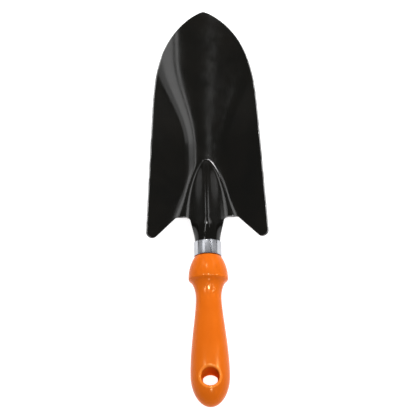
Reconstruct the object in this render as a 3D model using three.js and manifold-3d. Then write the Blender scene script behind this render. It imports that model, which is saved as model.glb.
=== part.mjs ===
// Hand trowel: a pressed steel blade whose neck and tang are one sheet, a bright ferrule,
// and a moulded handle with a hang hole. Millimetres, +Z up, +Y towards the blade's tip.
// The trowel lies on its back on z = 0, its hollow side up. Lengths along it are measured from
// the butt of the handle, and the whole group is then moved so that its middle is over the origin.

import * as THREE from 'three';
import { mergeGeometries, mergeVertices } from 'three/addons/utils/BufferGeometryUtils.js';
import Module from 'manifold-3d';

const wasm = await Module();
wasm.setup();

// ---------- driving dimensions ----------
const LENGTH = 291;
const GAP = 0.3;                  // clearance between touching pieces
const CUT_MARGIN = 2;             // how far a cut runs on past the surface that it opens
const AXIS_HEIGHT = 13.7;         // the handle's axis above the ground, which its ring touches

const SHEET = 1.4;                // thickness of the pressed steel
const NOTCH_Y = 135;              // where the blade's rear edge meets the neck
const NOTCH_HALF_WIDTH = 40.9;    // half the blade's width at the notches
const SIDE_TAPER = 0.0588;        // each side's loss of width for every millimetre towards the tip
const ARCH_START_Y = 205;         // the sides curve in from here
const ARCH_POWER = 3.5;
const ARCH_SHAPE = 0.73;
const TIP_HALF_WIDTH = 3;         // half-width of the last stretch of outline, across the tip

const KEEL_LOW_Y = 218;           // the blade's belly touches the ground here
const KEEL_RADIUS = 900;          // lengthwise curve of the belly
const WING_SLOPE = 0.7;           // of the flat wings, either side of a round bend
const BEND_REAR_RADIUS = 28;
const BEND_FRONT_RADIUS = 65;     // the bend opens out towards the tip
const BEND_REAR_Y = 190;
const BEND_FRONT_Y = 255;

const FROG_NOSE_Y = 180;          // the raised frog starts here and runs back into the neck
const FROG_SPREAD = 0.956;        // its foot spreads as a power of the way from the nose
const FROG_POWER = 0.76;
const FROG_SLOPE = 0.9;           // of its flanks
const FROG_CREST = 2.5;           // rounding of its crest
const FROG_HOLLOW = 0.25;         // rounding of its foot, as a share of its height

const NECK_RADIUS = 8.75;         // outside of the arched neck where it enters the ferrule
const NECK_PLAN_HALF_WIDTH = 12;
const NECK_FILLET = 3.5;
const NECK_HALF_ANGLE = 95;       // degrees of arch on each side of the crest
const TANG_ROOT_RADIUS = 6.7;     // outside of the tang where it enters the handle
const TANG_END_RADIUS = 5.2;
const TANG_END_HALF_ANGLE = 62;
const TANG_END_Y = 58;

const BARB_CORNER = new THREE.Vector2(42.2, 109.4);  // where the barb's edges would meet
const BARB_RADIUS = 3.7;
const NOTCH_CORNER = new THREE.Vector2(20.9, NOTCH_Y);
const NOTCH_RADIUS = 3;

const FERRULE_REAR_Y = 106.5;
const FERRULE_FRONT_Y = 116.3;
const FERRULE_RADIUS = 9.65;
const FERRULE_BORE = NECK_RADIUS + GAP;
const FERRULE_EDGE = 0.15;

const BUTT_LENGTH = 22;           // length of the elliptical butt
const SWELL_RADIUS = 13.6;
const SWELL_PULL_Y = 43;          // handles of the Bezier curve from the swell to the waist
const WAIST_PULL_Y = 66;
const WAIST_Y = 77;
const WAIST_RADIUS = 8.85;
const WAIST_SWEEP = new THREE.Vector2(12.5, 6.05);   // semi-axes of the hollow behind the ring
const RING_RADIUS = AXIS_HEIGHT;
const BULB_RADIUS = 27.5;         // lengthwise curve of the bulb in front of the ring
const BULB_Y = 91;
const SHOULDER_Y = FERRULE_REAR_Y - GAP;
const SPIGOT_Y = 115.6;
const HANG_HOLE_Y = 18.8;
const HANG_HOLE_RADIUS = 6;
const HANG_HOLE_WAIST = 5;        // its radius halfway down, where the drafted walls meet
const HANG_HOLE_RIM = 2;

// ---------- fineness of the faceted solids ----------
const HANDLE_SIDES = 40;
const FERRULE_SIDES = 48;
const NECK_CELLS = 10;            // across half of the neck
const NOTCH_CELLS = 1;
const BARB_CELLS = 7;
const BLADE_ROWS = 36;
const ROW_CROWDING = 1.4;         // the blade's rows lie closer together towards the tip
const TIP_CROWDING = 6;           // the tip's curve is kept to the last of them
const BARB_ROWS = 9;
const TANG_ROWS = 9;
const SOCKET_ROWS = 2;
const NECK_ROWS = 5;
const FILLET_ROWS = 4;
const SLOT_ROWS = 12;
const GRIP_ROWS = 12;
const BULB_ROWS = 8;
const HOLE_SIDES = 32;

const { degToRad, lerp, mapLinear, smoothstep } = THREE.MathUtils;
const steps = (count) => Array.from({ length: count + 1 }, (_, i) => i / count);

// ---------- solids ----------
function toManifold(geometry) {
  const plain = geometry.clone();
  plain.deleteAttribute('normal');
  plain.deleteAttribute('uv');
  const merged = mergeVertices(plain, 1e-4);
  const vertProperties = new Float32Array(merged.attributes.position.array);
  const triVerts = new Uint32Array(merged.index.array);
  return new wasm.Manifold(new wasm.Mesh({ numProp: 3, vertProperties, triVerts }));
}

function toGeometry(manifold) {
  const mesh = manifold.getMesh();
  const geometry = new THREE.BufferGeometry();
  geometry.setAttribute('position', new THREE.BufferAttribute(mesh.vertProperties, 3));
  geometry.setIndex(new THREE.BufferAttribute(mesh.triVerts, 1));
  geometry.computeVertexNormals();
  return geometry;
}

// A grid of points, given row by row, as an open surface that faces +Z where x grows along
// a row and y grows from row to row.
function gridSurface(rows) {
  const columns = rows[0].length;
  const index = [];
  for (let r = 0; r + 1 < rows.length; r += 1) {
    for (let c = 0; c + 1 < columns; c += 1) {
      const corner = r * columns + c;
      index.push(corner, corner + 1, corner + columns + 1);
      index.push(corner, corner + columns + 1, corner + columns);
    }
  }
  const geometry = new THREE.BufferGeometry().setFromPoints(rows.flat());
  geometry.setIndex(index);
  return geometry;
}

// Gives an open surface a thickness on its underside and walls round its edge.
function thicken(surface, thickness) {
  const sheet = mergeVertices(surface, 1e-4);
  sheet.computeVertexNormals();
  const { position, normal } = sheet.attributes;
  const count = position.count;
  const points = [];
  for (let i = 0; i < count; i += 1) points.push(new THREE.Vector3().fromBufferAttribute(position, i));
  for (let i = 0; i < count; i += 1) {
    const inward = new THREE.Vector3().fromBufferAttribute(normal, i).multiplyScalar(-thickness);
    points.push(points[i].clone().add(inward));
  }
  const top = Array.from(sheet.index.array);
  const index = [...top];
  const edges = new Set();
  for (let i = 0; i < top.length; i += 3) {
    const [a, b, c] = top.slice(i, i + 3);
    index.push(c + count, b + count, a + count);
    [[a, b], [b, c], [c, a]].forEach(([from, to]) => edges.add(`${from},${to}`));
  }
  for (const edge of edges) {
    const [from, to] = edge.split(',').map(Number);
    if (edges.has(`${to},${from}`)) continue;
    index.push(to, from, from + count, to, from + count, to + count);
  }
  const solid = new THREE.BufferGeometry().setFromPoints(points);
  solid.setIndex(index);
  solid.computeVertexNormals();
  return solid;
}

// ---------- the pressed sheet: its form ----------
const keelHeight = (y) => SHEET + (y - KEEL_LOW_Y) ** 2 / (2 * KEEL_RADIUS);

function troughHeight(x, y) {
  const opening = smoothstep(y, BEND_REAR_Y, BEND_FRONT_Y);
  const radius = lerp(BEND_REAR_RADIUS, BEND_FRONT_RADIUS, opening);
  const bend = Math.min(Math.abs(x), radius * Math.sin(Math.atan(WING_SLOPE)));
  const bendHeight = radius - Math.sqrt(radius ** 2 - bend ** 2);
  return keelHeight(y) + bendHeight + WING_SLOPE * (Math.abs(x) - bend);
}

function frogHeight(x, y) {
  const foot = FROG_SPREAD * Math.max(FROG_NOSE_Y - y, 0) ** FROG_POWER;
  const crest = FROG_SLOPE * foot;
  const flank = crest - FROG_SLOPE * (Math.hypot(x, FROG_CREST) - FROG_CREST);
  return (flank + Math.hypot(flank, FROG_HOLLOW * crest)) / 2;
}

const bladePoint = (x, y) => new THREE.Vector3(x, y, troughHeight(x, y) + frogHeight(x, y));

// The arch of the neck and tang at y: across runs from -1 to 1 over the arch.
function archRadius(y) {
  if (y >= FERRULE_FRONT_Y) return NECK_RADIUS;
  if (y >= SHOULDER_Y) return mapLinear(y, SHOULDER_Y, FERRULE_FRONT_Y, TANG_ROOT_RADIUS, NECK_RADIUS);
  return mapLinear(y, TANG_END_Y, SHOULDER_Y, TANG_END_RADIUS, TANG_ROOT_RADIUS);
}

function archHalfAngle(y) {
  const taper = THREE.MathUtils.clamp((SHOULDER_Y - y) / (SHOULDER_Y - TANG_END_Y), 0, 1);
  return degToRad(lerp(NECK_HALF_ANGLE, TANG_END_HALF_ANGLE, taper));
}

function archPoint(across, y, offset = 0, widen = 0) {
  const radius = archRadius(y) + offset;
  const angle = across * (archHalfAngle(y) + widen);
  return new THREE.Vector3(radius * Math.sin(angle), y, AXIS_HEIGHT + radius * Math.cos(angle));
}

// The neck turns from the frog's form at the notches into the arch at the ferrule.
function neckPoint(across, halfWidth, y) {
  const arch = 1 - smoothstep(y, FERRULE_FRONT_Y, NOTCH_Y);
  return bladePoint(across * halfWidth, y).lerp(archPoint(across, y), arch);
}

// ---------- the pressed sheet: its outline ----------
const sideHalfWidth = (y) => NOTCH_HALF_WIDTH - SIDE_TAPER * (y - NOTCH_Y);

function bladeHalfWidth(y) {
  const along = Math.max(0, (y - ARCH_START_Y) / (LENGTH - ARCH_START_Y));
  return sideHalfWidth(y) * (1 - along ** ARCH_POWER) ** ARCH_SHAPE;
}

// The outline across the tip, as the height of the edge at x.
function tipEdgeY(x) {
  const narrowness = (Math.abs(x) / sideHalfWidth(LENGTH)) ** (1 / ARCH_SHAPE);
  return ARCH_START_Y + (LENGTH - ARCH_START_Y) * (1 - narrowness) ** (1 / ARCH_POWER);
}

const neckTopHalfWidth = NECK_PLAN_HALF_WIDTH + NECK_FILLET;

// Tangent points and centre of an arc that rounds a corner between two straight edges.
function cornerArc(before, corner, after, radius) {
  const back = before.clone().sub(corner).normalize();
  const onward = after.clone().sub(corner).normalize();
  const halfAngle = Math.acos(back.dot(onward)) / 2;
  const bisector = back.clone().add(onward).normalize();
  const reach = radius / Math.tan(halfAngle);
  return {
    start: corner.clone().addScaledVector(back, reach),
    end: corner.clone().addScaledVector(onward, reach),
    centre: corner.clone().addScaledVector(bisector, radius / Math.sin(halfAngle)),
  };
}

function pointOnArc(arc, share) {
  const from = arc.start.clone().sub(arc.centre);
  const turn = from.angleTo(arc.end.clone().sub(arc.centre));
  const sense = Math.sign(from.cross(arc.end.clone().sub(arc.centre)));
  return arc.start.clone().rotateAround(arc.centre, sense * turn * share);
}

const sideFoot = new THREE.Vector2(NOTCH_HALF_WIDTH, NOTCH_Y);
const notchArc = cornerArc(new THREE.Vector2(0, NOTCH_Y), NOTCH_CORNER, BARB_CORNER, NOTCH_RADIUS);
const barbArc = cornerArc(NOTCH_CORNER, BARB_CORNER, sideFoot, BARB_RADIUS);

// Columns of the blade, as shares of its half-width: neck, notch and barb on each side.
function bladeColumns() {
  const neckEdge = neckTopHalfWidth / NOTCH_HALF_WIDTH;
  const barbEdge = notchArc.start.x / NOTCH_HALF_WIDTH;
  const half = [
    ...steps(NECK_CELLS).map((share) => share * neckEdge),
    ...steps(NOTCH_CELLS).slice(1).map((share) => lerp(neckEdge, barbEdge, share)),
    ...steps(BARB_CELLS).slice(1).map((share) => lerp(barbEdge, 1, share)),
  ];
  return [...half.slice(1).reverse().map((share) => -share), ...half];
}

function bladeRows() {
  const sideEnd = tipEdgeY(TIP_HALF_WIDTH);
  return steps(BLADE_ROWS).map((v) => {
    const sideY = lerp(NOTCH_Y, sideEnd, 1 - (1 - v) ** ROW_CROWDING);
    const halfWidth = v === 1 ? TIP_HALF_WIDTH : bladeHalfWidth(sideY);
    return bladeColumns().map((u) => {
      const bulge = v ** TIP_CROWDING * (tipEdgeY(u * TIP_HALF_WIDTH) - sideEnd);
      return bladePoint(u * halfWidth, sideY + bulge);
    });
  });
}

// One barb as a patch between its slanting inner edge and its outer side, ending on its round tip.
// v runs from 0 at the notch to 1 at the tip, and the tip's arc is shared among its three edges.
function barbRows(side) {
  const notchEnd = 0.2;
  const tipStart = 0.75;
  const tipShare = 0.3;
  const onTip = (v) => (tipShare * (v - tipStart)) / (1 - tipStart);
  const inner = (v) => {
    if (v < notchEnd) return pointOnArc(notchArc, v / notchEnd);
    if (v > tipStart) return pointOnArc(barbArc, onTip(v));
    return notchArc.end.clone().lerp(barbArc.start, (v - notchEnd) / (tipStart - notchEnd));
  };
  const outer = (v) => {
    if (v > tipStart) return pointOnArc(barbArc, 1 - onTip(v));
    return sideFoot.clone().lerp(barbArc.end, v / tipStart);
  };
  return steps(BARB_ROWS).reverse().map((v) => {
    const row = steps(BARB_CELLS).map((u) => {
      const straight = inner(v).lerp(outer(v), u);
      const roundTip = pointOnArc(barbArc, lerp(tipShare, 1 - tipShare, u));
      const chord = inner(1).lerp(outer(1), u);
      const point = straight.addScaledVector(roundTip.sub(chord), v);
      return bladePoint(side * point.x, point.y);
    });
    return side > 0 ? row : row.reverse();
  });
}

function neckRows() {
  const across = steps(2 * NECK_CELLS).map((share) => 2 * share - 1);
  const row = (halfWidth, y) => across.map((share) => neckPoint(share, halfWidth, y));
  const tang = steps(TANG_ROWS).map((share) => lerp(TANG_END_Y, SHOULDER_Y, share));
  const socket = steps(SOCKET_ROWS).slice(1).map((share) => lerp(SHOULDER_Y, FERRULE_FRONT_Y, share));
  const filletY = NOTCH_Y - NECK_FILLET;
  const neck = steps(NECK_ROWS).slice(1).map((share) => lerp(FERRULE_FRONT_Y, filletY, share));
  const fillet = steps(FILLET_ROWS).slice(1).map((share) => {
    const turn = (share * Math.PI) / 2;
    const halfWidth = NECK_PLAN_HALF_WIDTH + NECK_FILLET * (1 - Math.cos(turn));
    return row(halfWidth, NOTCH_Y - NECK_FILLET * (1 - Math.sin(turn)));
  });
  return [...[...tang, ...socket, ...neck].map((y) => row(NECK_PLAN_HALF_WIDTH, y)), ...fillet];
}

function bladeGeometry() {
  const patches = [bladeRows(), barbRows(-1), barbRows(1), neckRows()];
  return thicken(mergeGeometries(patches.map(gridSurface)), SHEET);
}

// ---------- the ferrule: a short tube with broken edges ----------
function ferruleGeometry() {
  const outline = [
    [FERRULE_BORE, FERRULE_REAR_Y],
    [FERRULE_RADIUS - FERRULE_EDGE, FERRULE_REAR_Y],
    [FERRULE_RADIUS, FERRULE_REAR_Y + FERRULE_EDGE],
    [FERRULE_RADIUS, FERRULE_FRONT_Y - FERRULE_EDGE],
    [FERRULE_RADIUS - FERRULE_EDGE, FERRULE_FRONT_Y],
    [FERRULE_BORE, FERRULE_FRONT_Y],
    [FERRULE_BORE, FERRULE_REAR_Y],
  ];
  return new THREE.LatheGeometry(outline.map(([r, y]) => new THREE.Vector2(r, y)), FERRULE_SIDES);
}

// ---------- the handle ----------
function handleOutline() {
  const butt = new THREE.EllipseCurve(0, BUTT_LENGTH, SWELL_RADIUS, BUTT_LENGTH, -Math.PI / 2, 0);
  const grip = new THREE.CubicBezierCurve(
    new THREE.Vector2(SWELL_RADIUS, BUTT_LENGTH),
    new THREE.Vector2(SWELL_RADIUS, SWELL_PULL_Y),
    new THREE.Vector2(WAIST_RADIUS, WAIST_PULL_Y),
    new THREE.Vector2(WAIST_RADIUS, WAIST_Y),
  );
  const sweepCentre = WAIST_RADIUS + WAIST_SWEEP.y;
  const ringAngle = Math.asin((sweepCentre - RING_RADIUS) / WAIST_SWEEP.y);
  const sweep = new THREE.EllipseCurve(
    sweepCentre, WAIST_Y, WAIST_SWEEP.y, WAIST_SWEEP.x, Math.PI, Math.PI / 2 + ringAngle, true,
  );
  const bulbEnd = Math.asin((SHOULDER_Y - BULB_Y) / BULB_RADIUS);
  const bulb = new THREE.EllipseCurve(
    RING_RADIUS - BULB_RADIUS, BULB_Y, BULB_RADIUS, BULB_RADIUS, 0, bulbEnd,
  );
  return [
    ...butt.getPoints(GRIP_ROWS),
    ...grip.getPoints(GRIP_ROWS).slice(1),
    ...sweep.getPoints(BULB_ROWS).slice(1),
    ...bulb.getPoints(BULB_ROWS),
    new THREE.Vector2(NECK_RADIUS, SHOULDER_Y),
    new THREE.Vector2(NECK_RADIUS, SPIGOT_Y),
    new THREE.Vector2(0, SPIGOT_Y),
  ];
}

// A solid of the arch's form, from one y to another, that cuts room for the tang.
function archTool(fromY, toY, offset, thickness, radius) {
  const rows = steps(SLOT_ROWS).map((share) => {
    const y = lerp(fromY, toY, share);
    const outside = radius === undefined ? offset : radius - archRadius(y);
    const widen = GAP / archRadius(y);
    return steps(2 * NECK_CELLS).map((u) => archPoint(2 * u - 1, y, outside, widen));
  });
  return toManifold(thicken(gridSurface(rows), thickness));
}

function hangHoleTool() {
  const reach = AXIS_HEIGHT + CUT_MARGIN;
  const rimStart = SWELL_RADIUS - HANG_HOLE_RIM;
  const rimEnd = HANG_HOLE_RADIUS + (reach - rimStart);
  const outline = [
    [0, -reach], [rimEnd, -reach], [HANG_HOLE_RADIUS, -rimStart], [HANG_HOLE_WAIST, 0],
    [HANG_HOLE_RADIUS, rimStart], [rimEnd, reach], [0, reach],
  ];
  const tool = new THREE.LatheGeometry(outline.map(([r, y]) => new THREE.Vector2(r, y)), HOLE_SIDES);
  tool.rotateX(Math.PI / 2);
  tool.translate(0, HANG_HOLE_Y, AXIS_HEIGHT);
  return toManifold(tool);
}

function handleGeometry() {
  const body = new THREE.LatheGeometry(handleOutline(), HANDLE_SIDES);
  body.translate(0, 0, AXIS_HEIGHT);
  const underArch = TANG_ROOT_RADIUS + GAP / 2;
  const tangRoom = archTool(TANG_END_Y - GAP, FERRULE_FRONT_Y, GAP, SHEET + 2 * GAP);
  const beyond = NECK_RADIUS + CUT_MARGIN;
  const archRoom = archTool(SHOULDER_Y, FERRULE_FRONT_Y, 0, beyond - underArch, beyond);
  const solid = toManifold(body).subtract(tangRoom).subtract(archRoom).subtract(hangHoleTool());
  return toGeometry(solid);
}

// ---------- assembly ----------
function piece(name, geometry, color, roughness, metalness) {
  const material = new THREE.MeshStandardMaterial({ color, roughness, metalness });
  const mesh = new THREE.Mesh(geometry, material);
  mesh.name = name;
  return mesh;
}

const ferrule = piece('ferrule', ferruleGeometry(), 0xb9bcc0, 0.25, 1.0);
ferrule.position.z = AXIS_HEIGHT;

const trowel = new THREE.Group();
trowel.add(
  piece('blade', bladeGeometry(), 0x15150f, 0.3, 0.1),
  ferrule,
  piece('handle', handleGeometry(), 0xe8741e, 0.3, 0.0),
);
trowel.position.y = -LENGTH / 2;

export default trowel;
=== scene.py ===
"""Looks of the hand trowel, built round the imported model.

The pieces are drawn as on a workshop drawing: in millimetres, with Y along the trowel from the
butt of the handle to the tip of the blade. placed() brings such points into the row frame.
"""

import math

import bmesh
import bpy
import numpy as np
from mathutils import Matrix, Vector


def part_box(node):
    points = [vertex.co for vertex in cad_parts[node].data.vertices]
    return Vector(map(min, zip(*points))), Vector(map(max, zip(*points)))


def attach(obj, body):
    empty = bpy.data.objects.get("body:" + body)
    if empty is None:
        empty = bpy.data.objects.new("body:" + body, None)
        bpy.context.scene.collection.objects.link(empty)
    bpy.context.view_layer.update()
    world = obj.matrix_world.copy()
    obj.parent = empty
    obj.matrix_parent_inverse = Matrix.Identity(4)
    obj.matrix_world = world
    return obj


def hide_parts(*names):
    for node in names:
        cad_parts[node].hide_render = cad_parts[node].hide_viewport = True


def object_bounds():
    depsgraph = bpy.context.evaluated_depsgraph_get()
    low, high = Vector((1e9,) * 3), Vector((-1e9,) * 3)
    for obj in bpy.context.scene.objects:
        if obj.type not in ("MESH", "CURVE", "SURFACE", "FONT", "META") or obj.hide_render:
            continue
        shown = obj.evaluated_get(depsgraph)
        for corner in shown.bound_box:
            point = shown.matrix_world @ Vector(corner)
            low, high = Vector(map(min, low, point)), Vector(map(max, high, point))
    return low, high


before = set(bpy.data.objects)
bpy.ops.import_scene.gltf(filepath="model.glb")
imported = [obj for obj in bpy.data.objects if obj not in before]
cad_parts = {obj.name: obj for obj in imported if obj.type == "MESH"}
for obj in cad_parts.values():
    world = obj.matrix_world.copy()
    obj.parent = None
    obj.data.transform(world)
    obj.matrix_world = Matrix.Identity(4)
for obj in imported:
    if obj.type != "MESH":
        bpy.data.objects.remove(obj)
cad_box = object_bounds()

MM = 0.001
handle_low, handle_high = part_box("handle")
ferrule_low, ferrule_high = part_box("ferrule")
BUTT = handle_low.y                          # where the drawing's Y starts, in the row frame
LENGTH = round((cad_box[1].y - BUTT) / MM)
GAP = 0.3                                    # clearance between neighbouring pieces

# ---------- ferrule ----------
AXIS_HEIGHT = (ferrule_low.z + ferrule_high.z) / 2 / MM
FERRULE_REAR_Y = (ferrule_low.y - BUTT) / MM
FERRULE_FRONT_Y = (ferrule_high.y - BUTT) / MM
FERRULE_RADIUS = (ferrule_high.x - ferrule_low.x) / 2 / MM
FERRULE_BORE = 9.05                          # inner radius
FERRULE_EDGE = 0.25                          # radius of its outer edges
FERRULE_BURR = 0.12                          # radius of its inner edges

# ---------- pressed sheet: form ----------
SHEET = 1.4
SHEET_EDGE = 0.4                             # radius that the paint gives the cut edges
KEEL_LOW_Y = 218                             # where the keel, curved lengthwise, is lowest
KEEL_RADIUS = 900
WING_SLOPE = 0.7                             # the flat wings, either side of the bend
BEND_RADIUS_REAR = 28
BEND_RADIUS_FRONT = 65                       # the bend opens out towards the tip
BEND_REAR_Y = 190
BEND_FRONT_Y = 255
FROG_NOSE_Y = 180                            # its front end
FROG_SPREAD = 0.956                          # its foot spreads as a power of the way from the nose
FROG_POWER = 0.76
FROG_SLOPE = 0.9                             # of its flanks
FROG_CREST = 2.5                             # rounding of its crest
FROG_HOLLOW = 0.25                           # rounding of its foot, as a share of its height
NECK_RADIUS = 8.75                           # outside radius of the arched neck
NECK_HALF_ANGLE = 95                         # from its top to its edge, in degrees
TANG_ROOT_RADIUS = 6.7
TANG_END_RADIUS = 5.2
TANG_END_HALF_ANGLE = 62
TANG_END_Y = 58

# ---------- pressed sheet: outline ----------
NOTCH_Y = 135
NOTCH_HALF_WIDTH = 40.9                      # of the blade, level with the notches
SIDE_TAPER = 0.0588                          # how fast each side draws in towards the tip
ARCH_START_Y = 205                           # where the sides start to arch in to the tip
ARCH_POWER = 3.5
ARCH_SHAPE = 0.73
TIP_HALF_WIDTH = 3                           # of the stretch that the last row ends on
NECK_PLAN_HALF_WIDTH = 12
NECK_FILLET = 3.5                            # radius between the neck and the notch
NOTCH_CORNER = np.array([20.9, NOTCH_Y])
NOTCH_RADIUS = 3
BARB_CORNER = np.array([42.2, 109.4])
BARB_RADIUS = 3.7

# ---------- handle ----------
BUTT_LENGTH = 22
SWELL_RADIUS = 13.6
SWELL_PULL_Y = 43                            # handles of the Bezier curve down to the waist
WAIST_PULL_Y = 66
WAIST_Y = 77
WAIST_RADIUS = 8.85
SWEEP_LENGTH = 12.5                          # semi-axes of the hollow behind the ring
SWEEP_DEPTH = 6.05
RING_RADIUS = (handle_high.x - handle_low.x) / 2 / MM
RING_EDGE = 1.2                              # how far the ring's rear corner is rounded off
BULB_Y = 91
BULB_RADIUS = 27.5
SHOULDER_Y = FERRULE_REAR_Y - GAP
SHOULDER_EDGE = 0.35
SPIGOT_Y = (handle_high.y - BUTT) / MM
HOLE = np.array([0, 18.8])                   # where its axis stands on the plan
HOLE_RADIUS = 6.15
HOLE_WAIST_RADIUS = 5.0                      # halfway down, where the drafted walls meet
HOLE_RIM = 2.2                               # width of the rounded rim, in plan and in depth
HOLE_REACH = HOLE_RADIUS + 1.5 * HOLE_RIM    # half the length of the block that the hole is cut in

# ---------- fineness ----------
BLADE_ROWS = 190
NECK_CELLS = 20                              # across half of the neck
NOTCH_CELLS = 5
BARB_CELLS = 28
BARB_ROWS = 36
TANG_POINTS = 30                             # along the tang, then through the ferrule and the neck
FERRULE_POINTS = 13
NECK_POINTS = 20
FILLET_STEPS = 8
SHEET_EDGE_STEPS = 4                         # in each quarter turn of a rounded edge
FERRULE_EDGE_STEPS = 5
RING_EDGE_STEPS = 6
SHOULDER_EDGE_STEPS = 5
TURN_CELLS = 128                             # round the handle and the ferrule
CURVE_POINTS = 400                           # on a curve of the profile, before it is spaced out
ROW_LENGTH = 0.7                             # between the handle's rows
HOLE_BLOCK = 21                              # cells that the hole takes on each side of the top
APRON_STEPS = 8                              # from the block's border to the hole's rim
RIM_STEPS = 10
WALL_STEPS = 12                              # down half of the hole's wall
SLOT_BLOCK = 35                              # cells that the tang's slot takes on each side
SHARP_ANGLE = 50                             # between faces, in degrees, where shading breaks

# ---------- colours ----------
PAINT_DARK, PAINT_PALE = (0.0035, 0.0035, 0.003), (0.0055, 0.005, 0.004)
# pale steel of the cut edge: worn paint, and a painted reflection of the white surroundings
WORN_STEEL_AND_REFLECTION = (0.3, 0.3, 0.3)
PLATE_DARK, PLATE_PALE = (0.43, 0.44, 0.47), (0.49, 0.50, 0.53)
ORANGE_DARK, ORANGE_PALE = (0.74, 0.142, 0.007), (0.78, 0.158, 0.009)
ORANGE_RIM_HIGHLIGHT = (0.95, 0.24, 0.025)             # painted highlight on the hang hole's rim, paler than the rest

EDGE_WEAR_AND_REFLECTION = "edge_wear_and_reflection"                      # attribute that marks the cut edge of the sheet, where the paint shows worn steel and a painted reflection


def placed(points):
    """Points of the drawing in the row frame, in metres."""
    return np.asarray(points, float) * MM + np.array([0.0, BUTT, 0.0])


def smoothstep(value, low, high):
    share = np.clip((value - low) / (high - low), 0, 1)
    return share * share * (3 - 2 * share)


def lerp(a, b, share):
    return a + (b - a) * share


# ---------- meshes ----------
def welded(patches):
    """A bmesh of grids of points, one array of rows each, welded where they meet."""
    mesh = bmesh.new()
    for patch in patches:
        rows, columns = patch.shape[:2]
        corners = [mesh.verts.new(point) for point in placed(patch).reshape(-1, 3)]
        for r in range(rows - 1):
            for c in range(columns - 1):
                a = r * columns + c
                mesh.faces.new([corners[i] for i in (a, a + 1, a + columns + 1, a + columns)])
    bmesh.ops.remove_doubles(mesh, verts=mesh.verts, dist=1e-6)
    return mesh


def shown(name, mesh, material, node):
    """The finished piece: it stands for the CAD node of that name and rides on the body."""
    bmesh.ops.recalc_face_normals(mesh, faces=mesh.faces)
    data = bpy.data.meshes.new(name)
    mesh.to_mesh(data)
    mesh.free()
    data.shade_smooth()
    data.set_sharp_from_angle(angle=math.radians(SHARP_ANGLE))
    data.materials.append(material)
    piece = bpy.data.objects.new(name, data)
    bpy.context.scene.collection.objects.link(piece)
    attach(piece, "root")
    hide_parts(node)
    return piece


def quarter_turns(count):
    """Sine and one minus cosine over a quarter turn, for rounding an edge."""
    turn = np.linspace(0, math.pi / 2, count + 1)
    return np.sin(turn), 1 - np.cos(turn)


def thickened(sheet, thickness, edge):
    """Closes an open surface with an underside and rounded edges that stand out from its border."""
    thickness, edge = thickness * MM, edge * MM
    # marks the rounded edge for the paler colour there: wear and a painted reflection
    wear_and_reflection = sheet.verts.layers.float.new(EDGE_WEAR_AND_REFLECTION)
    sheet.normal_update()
    out, drop = quarter_turns(SHEET_EDGE_STEPS)
    profile = [(edge * o, edge * d) for o, d in zip(out, drop)]
    profile += [(o, thickness - d) for o, d in reversed(profile)]
    tops, faces = list(sheet.verts), list(sheet.faces)
    normals = {v: v.normal.copy() for v in tops}
    outward = {}
    border = [e for e in sheet.edges if len(e.link_faces) == 1]
    for e in border:
        loop = e.link_loops[0]
        first, second = loop.vert, loop.link_loop_next.vert
        along = (second.co - first.co).normalized()
        for v in (first, second):
            outward[v] = outward.get(v, Vector()) + along.cross(normals[v])
    under = {v: sheet.verts.new(v.co - normals[v] * thickness) for v in tops}
    rims = {}
    for v, direction in outward.items():
        side = direction.normalized()
        middle = [sheet.verts.new(v.co + side * o - normals[v] * d) for o, d in profile[1:-1]]
        for corner in middle:
            corner[wear_and_reflection] = 1.0
        rims[v] = [v, *middle, under[v]]
    walls = [(e.link_loops[0].vert, e.link_loops[0].link_loop_next.vert) for e in border]
    for first, second in walls:
        a, b = rims[first], rims[second]
        for k in range(len(profile) - 1):
            sheet.faces.new([b[k], a[k], a[k + 1], b[k + 1]])
    for face in faces:
        sheet.faces.new([under[v] for v in reversed(face.verts)])
    return sheet


def turned(profile):
    """Rows of points of a surface turned about the handle's axis from (y, radius) pairs."""
    y, radius = np.asarray(profile, float).T[:, :, None]
    turn = np.linspace(0, 2 * math.pi, TURN_CELLS + 1)[None, :]
    x, z = radius * np.sin(turn), AXIS_HEIGHT + radius * np.cos(turn)
    return np.stack([x, np.broadcast_to(y, x.shape), z], axis=-1)


# ---------- pressed sheet ----------
def keel_height(y):
    return SHEET + (y - KEEL_LOW_Y) ** 2 / (2 * KEEL_RADIUS)


def trough_height(x, y):
    """A round bend along the middle, between flat wings."""
    radius = lerp(BEND_RADIUS_REAR, BEND_RADIUS_FRONT, smoothstep(y, BEND_REAR_Y, BEND_FRONT_Y))
    wing_angle = math.atan(WING_SLOPE)
    bend = np.minimum(np.abs(x), radius * math.sin(wing_angle))
    height = radius - np.sqrt(radius ** 2 - bend ** 2)
    return keel_height(y) + height + WING_SLOPE * (np.abs(x) - bend)


def frog_height(x, y):
    """The raised frog, which runs back from its nose into the neck, with straight flanks."""
    crest = FROG_SLOPE * FROG_SPREAD * np.maximum(FROG_NOSE_Y - y, 0) ** FROG_POWER
    flank = crest - FROG_SLOPE * (np.hypot(x, FROG_CREST) - FROG_CREST)
    return (flank + np.hypot(flank, FROG_HOLLOW * crest)) / 2


def blade_points(x, y):
    x, y = np.broadcast_arrays(x, y)
    return np.stack([x, y, trough_height(x, y) + frog_height(x, y)], axis=-1)


def arch_radius(y):
    """Outside radius of the arched neck and tang."""
    tang = np.interp(y, [TANG_END_Y, SHOULDER_Y], [TANG_END_RADIUS, TANG_ROOT_RADIUS])
    return np.where(y > SHOULDER_Y, np.interp(y, [SHOULDER_Y, FERRULE_FRONT_Y],
                                              [TANG_ROOT_RADIUS, NECK_RADIUS]), tang)


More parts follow.
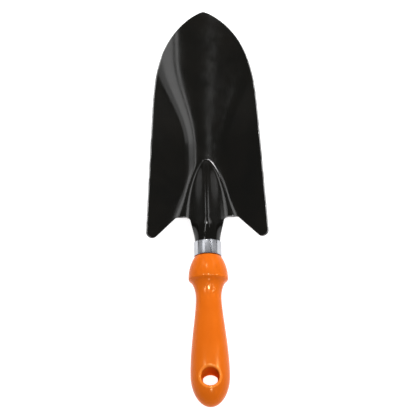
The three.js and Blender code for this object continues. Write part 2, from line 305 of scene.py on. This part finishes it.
def arch_points(across, y):
    """Points of the arch: across runs from -1 to 1 over it, edge to edge."""
    across, y = np.broadcast_arrays(across, y)
    half_angle = np.interp(y, [TANG_END_Y, SHOULDER_Y], [TANG_END_HALF_ANGLE, NECK_HALF_ANGLE])
    radius = arch_radius(y)
    angle = across * (np.radians(half_angle) - SHEET_EDGE / radius)
    return np.stack([radius * np.sin(angle), y, AXIS_HEIGHT + radius * np.cos(angle)], axis=-1)


def side_half_width(y):
    return NOTCH_HALF_WIDTH - SIDE_TAPER * (y - NOTCH_Y)


def blade_half_width(y):
    along = np.clip((y - ARCH_START_Y) / (LENGTH - ARCH_START_Y), 0, 1)
    return side_half_width(y) * (1 - along ** ARCH_POWER) ** ARCH_SHAPE


def tip_edge_y(x):
    narrowness = (np.abs(x) / side_half_width(LENGTH)) ** (1 / ARCH_SHAPE)
    return ARCH_START_Y + (LENGTH - ARCH_START_Y) * (1 - narrowness) ** (1 / ARCH_POWER)


def slope_of(curve, at, step=0.01):
    return (curve(at + step) - curve(at - step)) / (2 * step)


def side_border(y):
    """(x, y) of the blade's right side, drawn in by the width of the rounded edge."""
    slope = slope_of(blade_half_width, y)
    inset = SHEET_EDGE / np.hypot(1, slope)
    return blade_half_width(y) - inset, y + inset * slope


def tip_border(x):
    slope = slope_of(tip_edge_y, x)
    inset = SHEET_EDGE / np.hypot(1, slope)
    return x + inset * slope, tip_edge_y(x) - inset


class CornerArc:
    """An arc that rounds the corner between two straight edges, drawn in by an inset."""

    def __init__(self, before, corner, after, radius, inset):
        back = (before - corner) / np.linalg.norm(before - corner)
        onward = (after - corner) / np.linalg.norm(after - corner)
        half_angle = math.acos(back @ onward) / 2
        bisector = (back + onward) / np.linalg.norm(back + onward)
        self.centre = corner + bisector * radius / math.sin(half_angle)
        start = corner + back * radius / math.tan(half_angle) - self.centre
        end = corner + onward * radius / math.tan(half_angle) - self.centre
        self.angle = math.atan2(start[1], start[0])
        self.turn = math.atan2(start[0] * end[1] - start[1] * end[0], start @ end)
        self.radius = radius + inset

    def at(self, share):
        angle = self.angle + self.turn * np.asarray(share)
        return self.centre + self.radius * np.stack([np.cos(angle), np.sin(angle)], axis=-1)


SIDE_FOOT = np.array([NOTCH_HALF_WIDTH, NOTCH_Y])
NOTCH_ARC = CornerArc(np.array([0, NOTCH_Y]), NOTCH_CORNER, BARB_CORNER, NOTCH_RADIUS, SHEET_EDGE)
BARB_ARC = CornerArc(NOTCH_CORNER, BARB_CORNER, SIDE_FOOT, BARB_RADIUS, -SHEET_EDGE)
FIRST_ROW_Y = NOTCH_Y + SHEET_EDGE
FIRST_SIDE_Y = FIRST_ROW_Y + SHEET_EDGE * SIDE_TAPER / math.hypot(1, SIDE_TAPER)


def blade_columns():
    """Columns of the blade, as shares of its half-width: neck, notch and barb on each side."""
    half_width = side_border(FIRST_SIDE_Y)[0]
    neck_edge = (NECK_PLAN_HALF_WIDTH + NECK_FILLET) / half_width
    barb_edge = NOTCH_ARC.at(0)[0] / half_width
    half = np.concatenate([
        np.linspace(0, neck_edge, NECK_CELLS + 1),
        np.linspace(neck_edge, barb_edge, NOTCH_CELLS + 1)[1:],
        np.linspace(barb_edge, 1, BARB_CELLS + 1)[1:],
    ])
    return np.concatenate([-half[:0:-1], half])


def blade_patch():
    crowding = 1.4                           # rows lie closer together towards the tip
    flat_share = 6                           # power that keeps the tip's curve to the last rows
    share = np.linspace(0, 1, BLADE_ROWS + 1)[:, None]
    columns = blade_columns()[None, :]
    side_y = lerp(FIRST_SIDE_Y, tip_edge_y(TIP_HALF_WIDTH), 1 - (1 - share) ** crowding)
    side_x, row_y = side_border(side_y)
    tip_x, tip_y = tip_border(columns * TIP_HALF_WIDTH)
    bulge = share ** flat_share
    x = columns * side_x + bulge * (tip_x - columns * side_x[-1])
    y = row_y + bulge * (tip_y - row_y[-1])
    return blade_points(x, y)


def barb_patch(side):
    """One barb, between its slanting inner edge and its outer side, ending on its round tip."""
    arc_starts = 0.2, 0.75                   # shares of the inner edge: after the notch, at the tip
    tip_share = 0.3                          # share of the round tip that each long edge takes
    foot = np.array([side_border(FIRST_SIDE_Y)[0], FIRST_ROW_Y])
    v = np.linspace(1, 0, BARB_ROWS + 1)[:, None, None]
    u = np.linspace(0, 1, BARB_CELLS + 1)[None, :, None]
    on_notch = NOTCH_ARC.at(np.clip(v[..., 0] / arc_starts[0], 0, 1))
    edge = np.clip((v - arc_starts[0]) / (arc_starts[1] - arc_starts[0]), 0, 1)
    tip = tip_share * np.clip((v[..., 0] - arc_starts[1]) / (1 - arc_starts[1]), 0, 1)
    inner = np.where(v < arc_starts[0], on_notch, lerp(NOTCH_ARC.at(1), BARB_ARC.at(0), edge))
    inner = np.where(v > arc_starts[1], BARB_ARC.at(tip), inner)
    outer = lerp(foot, BARB_ARC.at(1), np.clip(v / arc_starts[1], 0, 1))
    outer = np.where(v > arc_starts[1], BARB_ARC.at(1 - tip), outer)
    round_tip = BARB_ARC.at(lerp(tip_share, 1 - tip_share, u[..., 0]))
    chord = lerp(BARB_ARC.at(tip_share), BARB_ARC.at(1 - tip_share), u)
    points = lerp(inner, outer, u) + v * (round_tip - chord)
    patch = blade_points(side * points[..., 0], points[..., 1])
    return patch if side > 0 else patch[:, ::-1]


def neck_patch():
    """Tang, arched neck and the fillets in the notches, which turn into the blade's first row."""
    across = np.linspace(-1, 1, 2 * NECK_CELLS + 1)[None, :]
    fillet_y = NOTCH_Y - NECK_FILLET
    turn = np.linspace(0, math.pi / 2, FILLET_STEPS + 1)[1:, None]
    fillet = NECK_FILLET + SHEET_EDGE
    y = np.concatenate([
        np.linspace(TANG_END_Y + SHEET_EDGE, SHOULDER_Y, TANG_POINTS),
        np.linspace(SHOULDER_Y, FERRULE_FRONT_Y, FERRULE_POINTS)[1:],
        np.linspace(FERRULE_FRONT_Y, fillet_y, NECK_POINTS)[1:],
    ])[:, None]
    straight = np.full_like(y, NECK_PLAN_HALF_WIDTH - SHEET_EDGE)
    flare = NECK_PLAN_HALF_WIDTH + NECK_FILLET - fillet * np.cos(turn)
    y = np.concatenate([y, fillet_y + fillet * np.sin(turn)])
    half_width = np.concatenate([straight, flare])
    arched = 1 - smoothstep(y, FERRULE_FRONT_Y, NOTCH_Y)[..., None]
    return lerp(blade_points(across * half_width, y), arch_points(across, y), arched)


def blade():
    sheet = welded([blade_patch(), barb_patch(-1), barb_patch(1), neck_patch()])
    return shown("pressed_blade", thickened(sheet, SHEET, SHEET_EDGE), blade_paint(), "blade")


# ---------- ferrule ----------
def ferrule():
    out, drop = quarter_turns(FERRULE_EDGE_STEPS)
    corner = [(FERRULE_EDGE * d, FERRULE_RADIUS - FERRULE_EDGE * (1 - o)) for o, d in zip(out, drop)]
    burr = [(FERRULE_BURR * (1 - o), FERRULE_BORE + FERRULE_BURR * d) for o, d in zip(out, drop)]
    rear = burr[::-1] + corner
    front = [(-y, radius) for y, radius in reversed(rear)]
    profile = [(FERRULE_REAR_Y + y, radius) for y, radius in rear]
    profile += [(FERRULE_FRONT_Y + y, radius) for y, radius in front]
    tube = welded([turned([*profile, profile[0]])])
    return shown("ferrule_tube", tube, ferrule_metal(), "ferrule")


# ---------- handle ----------
def bezier(start, first, second, end, count):
    """Points along a curve, or rows of points where each end is a row."""
    points = [np.asarray(p, float) for p in (start, first, second, end)]
    t = np.linspace(0, 1, count + 1).reshape(-1, *[1] * points[0].ndim)
    weights = [(1 - t) ** 3, 3 * t * (1 - t) ** 2, 3 * t * t * (1 - t), t ** 3]
    return sum(w * p for w, p in zip(weights, points))


def rounded(before, corner, after, count):
    """A corner of a profile, rounded off between the points before and after it."""
    pull = 2 / 3
    corner = np.asarray(corner, float)
    return bezier(before, lerp(before, corner, pull), lerp(after, corner, pull), after, count)


def spaced(curve):
    """A profile's curve with its points ROW_LENGTH apart."""
    steps = np.hypot(*np.diff(curve, axis=0).T)
    length = np.concatenate([[0], np.cumsum(steps)])
    at = np.linspace(0, length[-1], max(2, round(length[-1] / ROW_LENGTH)) + 1)
    return np.stack([np.interp(at, length, curve[:, k]) for k in (0, 1)], axis=-1)


def handle_profile():
    """(y, radius) from the butt to the shoulder, where the ferrule starts."""
    def sweep_at(turn):
        return np.stack([WAIST_Y + SWEEP_LENGTH * np.sin(turn),
                         WAIST_RADIUS + SWEEP_DEPTH * (1 - np.cos(turn))], axis=-1)

    quarter = np.linspace(0, math.pi / 2, CURVE_POINTS)
    butt = np.stack([BUTT_LENGTH * (1 - np.cos(quarter)), SWELL_RADIUS * np.sin(quarter)], -1)
    grip = bezier((BUTT_LENGTH, SWELL_RADIUS), (SWELL_PULL_Y, SWELL_RADIUS),
                  (WAIST_PULL_Y, WAIST_RADIUS), (WAIST_Y, WAIST_RADIUS), CURVE_POINTS)
    rise = RING_RADIUS - WAIST_RADIUS
    last = math.acos(1 - rise / SWEEP_DEPTH)
    ring_corner = sweep_at(last)
    cut = last - RING_EDGE / math.hypot(SWEEP_LENGTH * math.cos(last), SWEEP_DEPTH)
    sweep = sweep_at(np.linspace(0, cut, CURVE_POINTS))
    ring_side = ring_corner + np.array([RING_EDGE, 0])
    ring = rounded(sweep[-1], ring_corner, ring_side, RING_EDGE_STEPS)
    band = np.array([ring[-1], [BULB_Y, RING_RADIUS]])
    bulb_end = math.asin((SHOULDER_Y - BULB_Y - SHOULDER_EDGE) / BULB_RADIUS)
    turn = np.linspace(0, bulb_end, CURVE_POINTS)
    bulb = np.stack([BULB_Y + BULB_RADIUS * np.sin(turn),
                     RING_RADIUS - BULB_RADIUS * (1 - np.cos(turn))], -1)
    edge = np.array([SHOULDER_Y, bulb[-1, 1] - SHOULDER_EDGE / 2])
    shoulder_side = edge - np.array([0, SHOULDER_EDGE])
    shoulder = rounded(bulb[-1], edge, shoulder_side, SHOULDER_EDGE_STEPS)
    pieces = [spaced(butt), spaced(grip), spaced(sweep), ring, spaced(band), spaced(bulb), shoulder]
    return np.concatenate([pieces[0], *[piece[1:] for piece in pieces[1:]]])


def round_top(rows, half):
    """Columns of turned rows, that many cells to each side of the top."""
    return np.concatenate([rows[:, -half - 1:-1], rows[:, :half + 1]], axis=1)


def hole_patches(block):
    """The hang hole from both sides: apron, rounded rim and drafted wall.

    The block is the part of the handle's upper side that they take the place of.
    """
    quarter_pull = 0.5523                    # makes a Bezier curve into a quarter of an ellipse
    border = np.concatenate([block[0, :-1], block[:-1, -1], block[-1, :0:-1], block[::-1, 0]])
    border = border - np.array([0, 0, AXIS_HEIGHT])
    outward = border[:, :2] - HOLE
    outward /= np.hypot(*outward.T)[:, None]
    profile_y, profile_radius = handle_profile().T

    def at_distance(distance):
        plan = HOLE + outward * distance
        radius = np.interp(plan[:, 1], profile_y, profile_radius)
        return np.column_stack([plan, np.sqrt(radius ** 2 - plan[:, 0] ** 2)])

    border_distance = np.hypot(*(border[:, :2] - HOLE).T)[:, None]
    mouth_distance = HOLE_RADIUS + HOLE_RIM
    apron = [at_distance(lerp(border_distance, mouth_distance, share))
             for share in np.linspace(0, 1, APRON_STEPS + 1)[1:]]
    mouth = apron[-1]
    fall = slope_of(lambda distance: at_distance(distance)[:, 2], mouth_distance)
    brow = np.column_stack([HOLE + outward * HOLE_RADIUS, mouth[:, 2] - fall * HOLE_RIM])
    wall_top = brow - np.array([0, 0, HOLE_RIM])
    rim = bezier(mouth, lerp(mouth, brow, quarter_pull), lerp(wall_top, brow, quarter_pull),
                 wall_top, RIM_STEPS)
    waist = np.column_stack([HOLE + outward * HOLE_WAIST_RADIUS, np.zeros(len(outward))])
    wall = lerp(wall_top, waist, np.linspace(0, 1, WALL_STEPS + 1)[1:, None, None])
    upper = np.concatenate([[border], apron, rim[1:], wall])
    lower = upper[:, ::-1] * np.array([1, 1, -1])
    return [half + np.array([0, 0, AXIS_HEIGHT]) for half in (upper, lower)]


def front_patches(shoulder):
    """The shoulder and the spigot, with the slot that the arched tang goes into."""
    def outside(y):
        return y, arch_radius(y) + GAP

    def inside(y):
        return y, arch_radius(y) - SHEET - GAP

    slot_end = TANG_END_Y - GAP
    root, spigot_end = (SHOULDER_Y, NECK_RADIUS), (SPIGOT_Y, NECK_RADIUS)
    mouth = outside(SHOULDER_Y)
    mouth_ahead = (SPIGOT_Y, mouth[1])
    floor_line = [inside(slot_end), inside(SHOULDER_Y), inside(SPIGOT_Y)]
    slotted = turned([shoulder, root, mouth, outside(slot_end), *floor_line])
    whole = turned([shoulder, root, spigot_end, mouth_ahead, inside(SPIGOT_Y)])
    patches = [round_top(slotted, SLOT_BLOCK), whole[:, SLOT_BLOCK:TURN_CELLS - SLOT_BLOCK + 1],
               turned([inside(SPIGOT_Y), (SPIGOT_Y, 0)])]
    for column in (SLOT_BLOCK, -SLOT_BLOCK - 1):
        low = turned(floor_line)[:, column]
        high = turned([outside(slot_end), mouth, mouth_ahead])[:, column]
        top = turned([root, spigot_end])[:, column]
        patches += [np.stack([low, high]), np.stack([high[1:], top])]
    return patches


def handle():
    profile = handle_profile()
    rows = turned(profile)
    block_ends = HOLE[1] - HOLE_REACH, HOLE[1] + HOLE_REACH
    first, last = np.searchsorted(profile[:, 0], block_ends)
    bottom = TURN_CELLS // 2
    between = rows[first:last + 1]
    patches = [
        rows[:first + 1],
        rows[last:],
        between[:, HOLE_BLOCK:bottom - HOLE_BLOCK + 1],
        between[:, bottom + HOLE_BLOCK:TURN_CELLS - HOLE_BLOCK + 1],
        *hole_patches(round_top(between, HOLE_BLOCK)),
        *front_patches(profile[-1]),
    ]
    return shown("handle_grip", welded(patches), handle_plastic(), "handle")


# ---------- materials ----------
def finish_of(name, **sockets):
    """A material whose Principled shader has these values on its own sockets."""
    material = bpy.data.materials.new(name)
    material.use_nodes = True
    shader = material.node_tree.nodes["Principled BSDF"]
    for socket, value in sockets.items():
        shader.inputs[socket.replace("_", " ")].default_value = value
    return material, shader


def noise(tree, scale, detail=2.0, stretch=(1, 1, 1)):
    """A noise over the object's own coordinates. Scale counts features in a metre."""
    coordinates = tree.nodes.new("ShaderNodeTexCoord")
    mapping = tree.nodes.new("ShaderNodeMapping")
    mapping.inputs["Scale"].default_value = stretch
    texture = tree.nodes.new("ShaderNodeTexNoise")
    texture.inputs["Scale"].default_value = scale
    texture.inputs["Detail"].default_value = detail
    tree.links.new(coordinates.outputs["Object"], mapping.inputs["Vector"])
    tree.links.new(mapping.outputs["Vector"], texture.inputs["Vector"])
    return texture.outputs["Fac"]


def ranged(tree, value, low, high, to_low, to_high):
    node = tree.nodes.new("ShaderNodeMapRange")
    for socket, number in zip(("From Min", "From Max", "To Min", "To Max"),
                              (low, high, to_low, to_high)):
        node.inputs[socket].default_value = number
    tree.links.new(value, node.inputs["Value"])
    return node.outputs["Result"]


def varied(tree, texture, low, high):
    """A number that goes from low to high with a noise, over the range where most of it lies."""
    return ranged(tree, texture, 0.3, 0.7, low, high)


def mixed(tree, share, first, second):
    """A colour between two, each given as three numbers or as a socket."""
    node = tree.nodes.new("ShaderNodeMix")
    node.data_type = "RGBA"
    for name, color in (("A", first), ("B", second)):
        if isinstance(color, tuple):
            node.inputs[name].default_value = (*color, 1)
        else:
            tree.links.new(color, node.inputs[name])
    tree.links.new(share, node.inputs["Factor"])
    return node.outputs["Result"]


def product(tree, first, second):
    node = tree.nodes.new("ShaderNodeMath")
    node.operation = "MULTIPLY"
    tree.links.new(first, node.inputs[0])
    tree.links.new(second, node.inputs[1])
    return node.outputs["Value"]


def bumped(tree, height, depth, under=None):
    """A bump whose heights run over that depth, in millimetres."""
    node = tree.nodes.new("ShaderNodeBump")
    node.inputs["Strength"].default_value = 1.0
    node.inputs["Distance"].default_value = depth * MM
    tree.links.new(height, node.inputs["Height"])
    if under is not None:
        tree.links.new(under, node.inputs["Normal"])
    return node.outputs["Normal"]


def from_hole_axis(tree):
    """Distance from the hang hole's axis, in metres."""
    coordinates = tree.nodes.new("ShaderNodeTexCoord")
    flatten = tree.nodes.new("ShaderNodeVectorMath")
    flatten.operation = "MULTIPLY"
    flatten.inputs[1].default_value = (1, 1, 0)
    distance = tree.nodes.new("ShaderNodeVectorMath")
    distance.operation = "DISTANCE"
    distance.inputs[1].default_value = (0, placed([*HOLE, 0])[1], 0)
    tree.links.new(coordinates.outputs["Object"], flatten.inputs[0])
    tree.links.new(flatten.outputs["Vector"], distance.inputs[0])
    return distance.outputs["Value"]


def blade_paint():
    """Black gloss powder coat with a slight orange peel, worn along the cut edge, where the pale
    steel colour is also a painted reflection.
    """
    material, shader = finish_of("blade_paint", IOR=1.45, Specular_IOR_Level=0.3)
    tree = material.node_tree
    paint = mixed(tree, varied(tree, noise(tree, 45, 3), 0, 1), PAINT_DARK, PAINT_PALE)
    edge = tree.nodes.new("ShaderNodeAttribute")
    edge.attribute_name = EDGE_WEAR_AND_REFLECTION
    patches = ranged(tree, noise(tree, 120, 4), 0.35, 0.55, 0.3, 1)
    # the cut edge is painted pale: partly wear, partly a painted reflection
    wear_and_reflection = product(tree, ranged(tree, edge.outputs["Fac"], 0.5, 1, 0, 1), patches)
    tree.links.new(mixed(tree, wear_and_reflection, paint, WORN_STEEL_AND_REFLECTION), shader.inputs["Base Color"])
    tree.links.new(varied(tree, noise(tree, 160, 3), 0.1, 0.16), shader.inputs["Roughness"])
    tree.links.new(bumped(tree, noise(tree, 700, 1), 0.009), shader.inputs["Normal"])
    return material


def ferrule_metal():
    """Bright plated steel, drawn lengthwise."""
    material, shader = finish_of("ferrule_metal", Metallic=1.0)
    tree = material.node_tree
    drawn = noise(tree, 2500, 3, (1, 0.03, 1))
    plate = mixed(tree, varied(tree, noise(tree, 300, 3), 0, 1), PLATE_DARK, PLATE_PALE)
    tree.links.new(plate, shader.inputs["Base Color"])
    tree.links.new(varied(tree, drawn, 0.18, 0.24), shader.inputs["Roughness"])
    tree.links.new(bumped(tree, drawn, 0.0005), shader.inputs["Normal"])
    return material


def handle_plastic():
    """Orange moulded plastic with a soft gloss, a painted highlight making the hang hole's rim
    paler, dull inside it.
    """
    material, shader = finish_of("handle_plastic", IOR=1.2, Specular_Tint=(1.0, 0.75, 0.35, 1))
    tree = material.node_tree
    plastic = mixed(tree, varied(tree, noise(tree, 55, 3), 0, 1), ORANGE_DARK, ORANGE_PALE)
    fade = 0.4 * MM
    rim_start, rim_end = HOLE_RADIUS * MM, (HOLE_RADIUS + HOLE_RIM) * MM
    from_axis = from_hole_axis(tree)
    # pale ring round the hang hole: a painted highlight
    rim = product(tree, ranged(tree, from_axis, rim_start, rim_start + fade, 0, 1),
                  ranged(tree, from_axis, rim_end - fade, rim_end + fade / 2, 1, 0))
    gloss = ranged(tree, from_axis, rim_start, rim_start + MM, 0, 0.5)
    wave = bumped(tree, noise(tree, 90, 1), 0.06)
    tree.links.new(mixed(tree, rim, plastic, ORANGE_RIM_HIGHLIGHT), shader.inputs["Base Color"])
    tree.links.new(varied(tree, noise(tree, 220, 3), 0.16, 0.22), shader.inputs["Roughness"])
    tree.links.new(bumped(tree, noise(tree, 1500, 2), 0.006, wave), shader.inputs["Normal"])
    tree.links.new(gloss, shader.inputs["Specular IOR Level"])
    return material


# ---------- studio ----------
VIEW_HEIGHT = 72.8                           # the camera's elevation, in degrees
VIEW_ROLL = -1.17
VIEW_DISTANCE = 2.0                          # in metres, as the target is
VIEW_TARGET = Vector((0.000434, -0.00302, 0.012))
LENS = 249.63                                # focal length, in millimetres


def view_axes():
    """Right, up and back of the view, in the row frame."""
    height, roll = math.radians(VIEW_HEIGHT), math.radians(VIEW_ROLL)
    level = Vector((1, 0, 0))
    rise = Vector((0, math.sin(height), math.cos(height)))
    back = Vector((0, -math.cos(height), math.sin(height)))
    right = math.cos(roll) * level + math.sin(roll) * rise
    up = math.cos(roll) * rise - math.sin(roll) * level
    return right, up, back


def camera():
    right, up, back = view_axes()
    data = bpy.data.cameras.new("camera")
    data.lens = LENS
    data.clip_start, data.clip_end = 0.05, 100
    eye = bpy.data.objects.new("camera", data)
    eye.matrix_world = Matrix.Translation(VIEW_TARGET + back * VIEW_DISTANCE) @ Matrix(
        (right, up, back)).transposed().to_4x4()
    bpy.context.scene.collection.objects.link(eye)
    bpy.context.scene.camera = eye


def softbox(name, around, spread, from_y, to_y, radiance, distance=600):
    """A rectangular light that lies along the trowel, at that distance from its axis.

    It is centred at an angle round the axis, from straight up towards +X, and seen from the
    axis it covers the spread to each side. Both angles are in degrees.
    """
    a = math.radians(around)
    towards = Vector((math.sin(a), 0, math.cos(a)))
    centre = Vector(placed([0, (from_y + to_y) / 2, AXIS_HEIGHT])) + towards * distance * MM
    data = bpy.data.lights.new(name, "AREA")
    data.shape = "RECTANGLE"
    data.size = 2 * distance * MM * math.tan(math.radians(spread))
    data.size_y = (to_y - from_y) * MM
    data.energy = radiance * math.pi * data.size * data.size_y
    lamp = bpy.data.objects.new(name, data)
    along = Vector((0, 1, 0))
    lamp.matrix_world = Matrix.Translation(centre) @ Matrix(
        (along.cross(towards), along, towards)).transposed().to_4x4()
    lamp.visible_camera = False
    bpy.context.scene.collection.objects.link(lamp)
    return lamp


def light_only(piece, lamps):
    """Lets these lamps light that piece and nothing else."""
    receivers = bpy.data.collections.new(piece.name + "_lit")
    receivers.objects.link(piece)
    for lamp in lamps:
        lamp.light_linking.receiver_collection = receivers


def lights(blade_piece, ferrule_piece, handle_piece):
    # long highlights in the blade's hollow, and the thin line beside them
    softbox("right_blade_rear", 42.5, 7.5, 280, 299, 2.4, 250)
    softbox("right_blade", 42.5, 7.5, 299, 500, 4.8, 250)
    softbox("right_blade_side", 56, 6, 302, 420, 2.0, 250)
    softbox("right_line", 30.5, 1.5, 195, 530, 7.0, 250)
    # bands round the frog, the spark on its nose, and thin lines on its crest and on the neck
    softbox("left_frog", -35, 9, 540, 1000, 5.0)
    softbox("nose_spark", -9, 6, 510, 640, 60.0)
    softbox("left_crest_strip", -24, 0.8, 500, 530, 8.0, 250)
    light_only(blade_piece, [softbox("left_neck_strip", -26, 1.5, 140, 272, 20.0, 250)])
    # bands on the ferrule
    light_only(ferrule_piece, [
        softbox("ferrule_left", -33, 11, 200, 400, 1.7),
        softbox("ferrule_front", 2, 20, 200, 400, 0.5),
        softbox("ferrule_right", 42, 9, 200, 400, 0.8),
        softbox("ferrule_far_left", -62, 18, 200, 400, 0.45),
        softbox("ferrule_far_right", 75, 22, 200, 400, 0.6),
    ])
    # gloss on the handle
    gloss = [
        softbox("sweep_left", -30, 7, 58, 100, 45.0, 240),
        softbox("sweep_right", 45, 7, 58, 102, 60.0, 240),
        softbox("key", 3, 3, -15, 40, 800.0),
        softbox("ring_light", 5, 30, -130, -60, 25.0),
        softbox("butt_light", 6, 4, -88, -70, 200.0, 150),
    ]
    light_only(handle_piece, gloss)
    for lamp in gloss:
        lamp.visible_diffuse = False
    # soft light over everything, without a reflection of its own
    softbox("fill", 20, 30, -650, 450, 2.0, 1000).visible_glossy = False


def surroundings():
    """A pale room: as white as the floor where they meet, darker overhead."""
    world = bpy.data.worlds.new("surroundings")
    world.use_nodes = True
    tree = world.node_tree
    direction = tree.nodes.new("ShaderNodeTexCoord")
    split = tree.nodes.new("ShaderNodeSeparateXYZ")
    tree.links.new(direction.outputs["Generated"], split.inputs["Vector"])
    rise = split.outputs["Z"]                # of the direction looked in, from 0 level to 1 up
    white, pale, dim = (1, 1, 1), (0.4, 0.4, 0.4), (0.14, 0.14, 0.14)
    overhead = mixed(tree, ranged(tree, rise, 0.06, 0.3, 0, 1), pale, dim)
    room = mixed(tree, ranged(tree, rise, 0.03, 0.06, 0, 1), white, overhead)
    tree.links.new(room, tree.nodes["Background"].inputs["Color"])
    bpy.context.scene.world = world


def floor():
    half = 15.0
    mesh = bmesh.new()
    square = (-1, -1), (1, -1), (1, 1), (-1, 1)
    corners = [mesh.verts.new((x * half, y * half, 0)) for x, y in square]
    mesh.faces.new(corners)
    data = bpy.data.meshes.new("floor")
    mesh.to_mesh(data)
    mesh.free()
    material, _ = finish_of("floor_white", Base_Color=(0.5, 0.5, 0.5, 1), Roughness=0.6,
                            Specular_IOR_Level=0.2, Emission_Color=(1, 1, 1, 1),
                            Emission_Strength=0.9)
    data.materials.append(material)
    plane = bpy.data.objects.new("floor", data)
    bpy.context.scene.collection.objects.link(plane)


def studio(blade_piece, ferrule_piece, handle_piece):
    settings = bpy.context.scene.view_settings
    settings.view_transform = "Standard"
    settings.look = "None"
    camera()
    lights(blade_piece, ferrule_piece, handle_piece)
    surroundings()
    floor()


studio(blade(), ferrule(), handle())
